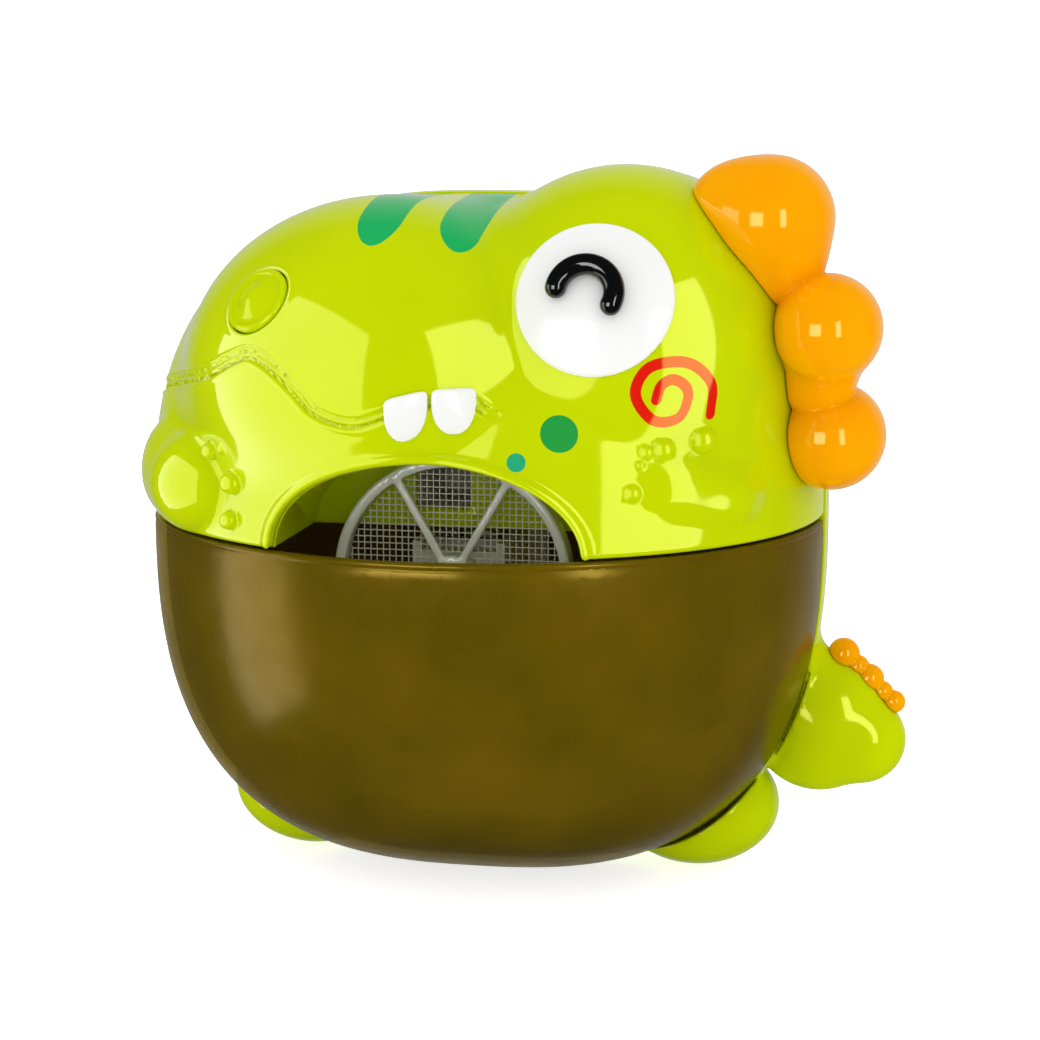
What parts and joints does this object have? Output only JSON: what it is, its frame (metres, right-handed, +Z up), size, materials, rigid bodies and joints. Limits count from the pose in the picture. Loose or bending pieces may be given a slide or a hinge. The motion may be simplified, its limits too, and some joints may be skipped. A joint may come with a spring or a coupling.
{
  "type": "bubble machine",
  "caption": "Bath bubble machine: dinosaur-head casing over a pull-off liquid tank, with a motor-driven mesh wheel, a blower, a foam outlet arch and suction cups.",
  "frame": {"origin": "on the flat back face, at the middle of the body's width and the height of the plane where the tank meets the head", "axes": "+Z up, -Y out of the face (the way the foam leaves), +Y into the wall it hangs on, +X to the viewer's right"},
  "size_m": [0.1832, 0.1086, 0.1748],
  "materials": {
    "lime_plastic": "gloss moulded ABS, lime green",
    "orange_plastic": "gloss moulded ABS, orange",
    "tank_plastic": "smoky brown translucent, satin gloss",
    "white_plastic": "gloss moulded, white",
    "black_plastic": "gloss, black",
    "cream_plastic": "natural moulded plastic",
    "mesh_cloth": "fine woven polyester net",
    "clear_rubber": "soft clear vinyl",
    "steel": "plain steel",
    "board_green": "circuit board lacquer",
    "cell_jacket": "printed film jacket, plain"
  },
  "bodies": {
    "case": {"front_shell": "lime_plastic", "rear_housing": "lime_plastic", "crest": "orange_plastic", "tail_spikes": "orange_plastic", "inner_deck": "lime_plastic", "partition_plate": "lime_plastic", "eye_white": "white_plastic", "eye_arc": "black_plastic", "tooth_left": "white_plastic", "tooth_right": "white_plastic", "tact_switch": "black_plastic", "switch_board": "board_green", "reduction_pin": "steel", "wheel_motor": "steel", "shaft_bush": "steel", "fan_volute": "cream_plastic", "fan_motor": "steel", "air_duct": "cream_plastic", "battery_tray": "lime_plastic", "battery_1": "cell_jacket", "battery_2": "cell_jacket", "battery_3": "cell_jacket", "contact_spring_1": "steel", "contact_spring_2": "steel", "contact_spring_3": "steel", "contact_plate_1": "steel", "contact_plate_2": "steel", "contact_plate_3": "steel", "circuit_board": "board_green", "speaker": "black_plastic", "suction_cup_1": "clear_rubber", "suction_cup_2": "clear_rubber", "suction_cup_3": "clear_rubber", "suction_cup_4": "clear_rubber", "case_screw_1": "steel", "case_screw_2": "steel", "case_screw_3": "steel", "case_screw_4": "steel"},
    "tank": {"tank": "tank_plastic", "wheel_bracket": "cream_plastic"},
    "wheel": {"wheel_frame": "white_plastic", "wheel_mesh": "mesh_cloth", "wheel_axle": "steel", "wheel_dog": "cream_plastic"},
    "drive": {"output_gear": "cream_plastic", "drive_shaft": "steel", "drive_dog": "cream_plastic"},
    "reduction": {"reduction_gear": "cream_plastic"},
    "motor": {"motor_pinion": "steel"},
    "fan": {"fan_impeller": "cream_plastic", "fan_shaft": "steel"},
    "nose": {"nose_button": "lime_plastic"},
    "door": {"battery_door": "lime_plastic", "door_screw": "steel"}
  },
  "joints": [
    {"name": "tank_slide", "type": "slide", "parent": "case", "child": "tank", "axis": [0, -1, 0], "range_m": [0, 0.05]},
    {"name": "wheel_spin", "type": "hinge", "parent": "tank", "child": "wheel", "pos_m": [0, -0.059, -0.01], "axis": [0, 1, 0], "continuous": true},
    {"name": "drive_spin", "type": "hinge", "parent": "case", "child": "drive", "pos_m": [0, -0.011, -0.01], "axis": [0, 1, 0], "continuous": true},
    {"name": "reduction_spin", "type": "hinge", "parent": "case", "child": "reduction", "pos_m": [-0.01873, -0.008, -0.00271], "axis": [0, 1, 0], "continuous": true},
    {"name": "motor_spin", "type": "hinge", "parent": "case", "child": "motor", "pos_m": [-0.031, -0.006, 0.0106], "axis": [0, 1, 0], "continuous": true},
    {"name": "fan_spin", "type": "hinge", "parent": "case", "child": "fan", "pos_m": [0.01, -0.03, 0.046], "axis": [0, 1, 0], "continuous": true},
    {"name": "nose_press", "type": "slide", "parent": "case", "child": "nose", "axis": [0.41, 0.72, -0.56], "range_m": [0, 0.0014]},
    {"name": "door_lift", "type": "slide", "parent": "case", "child": "door", "axis": [0, 1, 0], "range_m": [0, 0.02]}
  ],
  "couplings": [
    {"joint": "drive_spin", "follows": "wheel_spin", "ratio": 1},
    {"joint": "reduction_spin", "follows": "wheel_spin", "ratio": -4},
    {"joint": "motor_spin", "follows": "wheel_spin", "ratio": 14}
  ]
}
